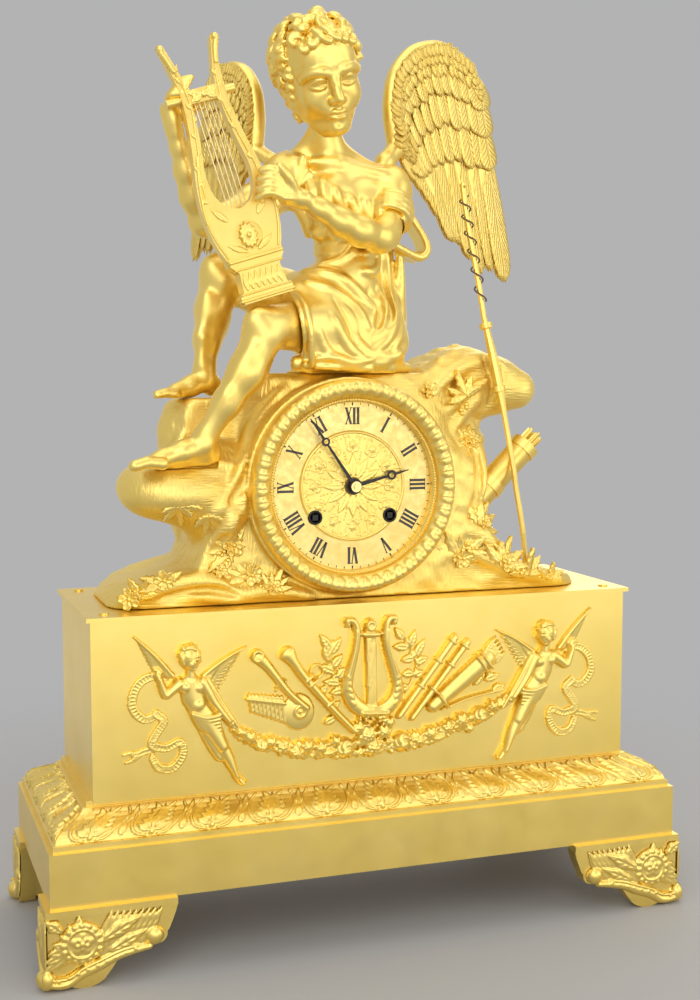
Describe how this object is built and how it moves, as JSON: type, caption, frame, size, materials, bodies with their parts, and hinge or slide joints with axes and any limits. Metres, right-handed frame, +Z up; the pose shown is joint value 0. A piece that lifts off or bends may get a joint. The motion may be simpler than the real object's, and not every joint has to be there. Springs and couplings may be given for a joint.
{
  "type": "figural mantel clock",
  "caption": "Gilt figural mantel clock: a winged youth with a lyre sits on a hollow rock holding a round striking movement, above a plinth with reliefs and a base on scrolled feet.",
  "frame": {"origin": "on the floor under the middle of the base", "axes": "+X to the right as the dial is read, +Y to the back, +Z up; the dial faces -Y"},
  "size_m": [0.4166, 0.16, 0.567],
  "materials": {
    "ormolu": "satin gilding, matte in the hollows and burnished on the ridges",
    "dial_gilt": "fine matte gilding",
    "movement_brass": "polished",
    "pendulum_brass": "polished",
    "string_brass": "drawn wire",
    "bell_metal": "turned bronze",
    "steel": "polished steel",
    "blued_steel": "blued steel",
    "cord": "twisted brown cord"
  },
  "bodies": {
    "case": {"foot_front_left": "ormolu", "foot_front_right": "ormolu", "foot_back_left": "ormolu", "foot_back_right": "ormolu", "foot_screws": "steel", "lower_base": "ormolu", "base_moulding": "ormolu", "plinth_box": "ormolu", "plinth_top": "ormolu", "plinth_screws": "steel", "cherub_mount_left": "ormolu", "cherub_mount_right": "ormolu", "trophy_mount": "ormolu", "mount_studs": "movement_brass", "rock_case": "ormolu", "rock_studs": "steel", "front_bezel": "ormolu", "back_bezel": "ormolu", "case_straps": "movement_brass", "dial_ring": "dial_gilt", "dial_centre": "ormolu", "front_plate": "movement_brass", "back_plate": "movement_brass", "pillars": "movement_brass", "ratchet_clicks": "steel", "suspension_cock": "movement_brass", "bell": "bell_metal", "bell_stand": "steel", "door_hinge_pin": "steel", "figure_torso": "ormolu", "figure_head": "ormolu", "left_arm": "ormolu", "right_arm": "ormolu", "left_leg": "ormolu", "right_leg": "ormolu", "left_wing": "ormolu", "right_wing": "ormolu", "lyre_frame": "ormolu", "lyre_strings": "string_brass", "quiver": "ormolu", "arrows": "ormolu", "bow": "ormolu", "bow_cord": "cord"},
    "minute": {"centre_wheel": "movement_brass", "minute_hand": "blued_steel"},
    "hour": {"hour_wheel": "movement_brass", "hour_hand": "blued_steel"},
    "minute_wheel": {"minute_wheel": "movement_brass"},
    "third_wheel": {"third_wheel": "movement_brass"},
    "escape_wheel": {"escape_wheel": "movement_brass"},
    "second_wheel": {"second_wheel": "movement_brass"},
    "going_barrel": {"going_barrel": "movement_brass"},
    "strike_barrel": {"strike_barrel": "movement_brass"},
    "winder_going": {"winding_arbor_going": "steel"},
    "winder_strike": {"winding_arbor_strike": "steel"},
    "pendulum": {"pendulum": "pendulum_brass"},
    "pallets": {"pallets": "steel"},
    "hammer": {"hammer": "steel"},
    "back_door": {"back_door": "ormolu"}
  },
  "joints": [
    {"name": "minute_turn", "type": "hinge", "parent": "case", "child": "minute", "pos_m": [-0.0105, -0.03, 0.2765], "axis": [0, 1, 0], "continuous": true},
    {"name": "hour_turn", "type": "hinge", "parent": "case", "child": "hour", "pos_m": [-0.0105, -0.045, 0.2765], "axis": [0, 1, 0], "continuous": true},
    {"name": "minute_wheel_turn", "type": "hinge", "parent": "case", "child": "minute_wheel", "pos_m": [-0.0105, -0.022, 0.2639], "axis": [0, 1, 0], "continuous": true},
    {"name": "third_wheel_turn", "type": "hinge", "parent": "case", "child": "third_wheel", "pos_m": [-0.02015, -0.022, 0.28917], "axis": [0, 1, 0], "continuous": true},
    {"name": "escape_wheel_turn", "type": "hinge", "parent": "case", "child": "escape_wheel", "pos_m": [-0.0105, -0.022, 0.2985], "axis": [0, 1, 0], "continuous": true},
    {"name": "second_wheel_turn", "type": "hinge", "parent": "case", "child": "second_wheel", "pos_m": [0.00667, -0.022, 0.27518], "axis": [0, 1, 0], "continuous": true},
    {"name": "going_barrel_turn", "type": "hinge", "parent": "case", "child": "going_barrel", "pos_m": [0.0135, -0.022, 0.258], "axis": [0, 1, 0], "continuous": true},
    {"name": "strike_barrel_turn", "type": "hinge", "parent": "case", "child": "strike_barrel", "pos_m": [-0.0345, -0.022, 0.258], "axis": [0, 1, 0], "continuous": true},
    {"name": "going_winding", "type": "hinge", "parent": "case", "child": "winder_going", "pos_m": [0.0135, -0.022, 0.258], "axis": [0, 1, 0], "continuous": true},
    {"name": "strike_winding", "type": "hinge", "parent": "case", "child": "winder_strike", "pos_m": [-0.0345, -0.022, 0.258], "axis": [0, 1, 0], "continuous": true},
    {"name": "pendulum_swing", "type": "hinge", "parent": "case", "child": "pendulum", "pos_m": [-0.0105, 0.0045, 0.3139], "axis": [0, 1, 0], "range_deg": [-4, 4]},
    {"name": "pallets_rock", "type": "hinge", "parent": "case", "child": "pallets", "pos_m": [-0.0105, -0.012, 0.3139], "axis": [0, 1, 0], "range_deg": [-4, 4]},
    {"name": "hammer_lift", "type": "hinge", "parent": "case", "child": "hammer", "pos_m": [-0.0275, 0, 0.3135], "axis": [0, 1, 0], "range_deg": [0, 14]},
    {"name": "back_door_swing", "type": "hinge", "parent": "case", "child": "back_door", "pos_m": [-0.072, 0.0492, 0.2765], "axis": [0, 0, 1], "range_deg": [0, 110]}
  ],
  "couplings": [
    {"joint": "hour_turn", "follows": "minute_turn", "ratio": 0.083333},
    {"joint": "minute_wheel_turn", "follows": "minute_turn", "ratio": -0.33333},
    {"joint": "third_wheel_turn", "follows": "minute_turn", "ratio": -12},
    {"joint": "escape_wheel_turn", "follows": "minute_turn", "ratio": 132},
    {"joint": "second_wheel_turn", "follows": "minute_turn", "ratio": -0.13889},
    {"joint": "going_barrel_turn", "follows": "minute_turn", "ratio": 0.02193},
    {"joint": "pallets_rock", "follows": "pendulum_swing", "ratio": 1}
  ]
}
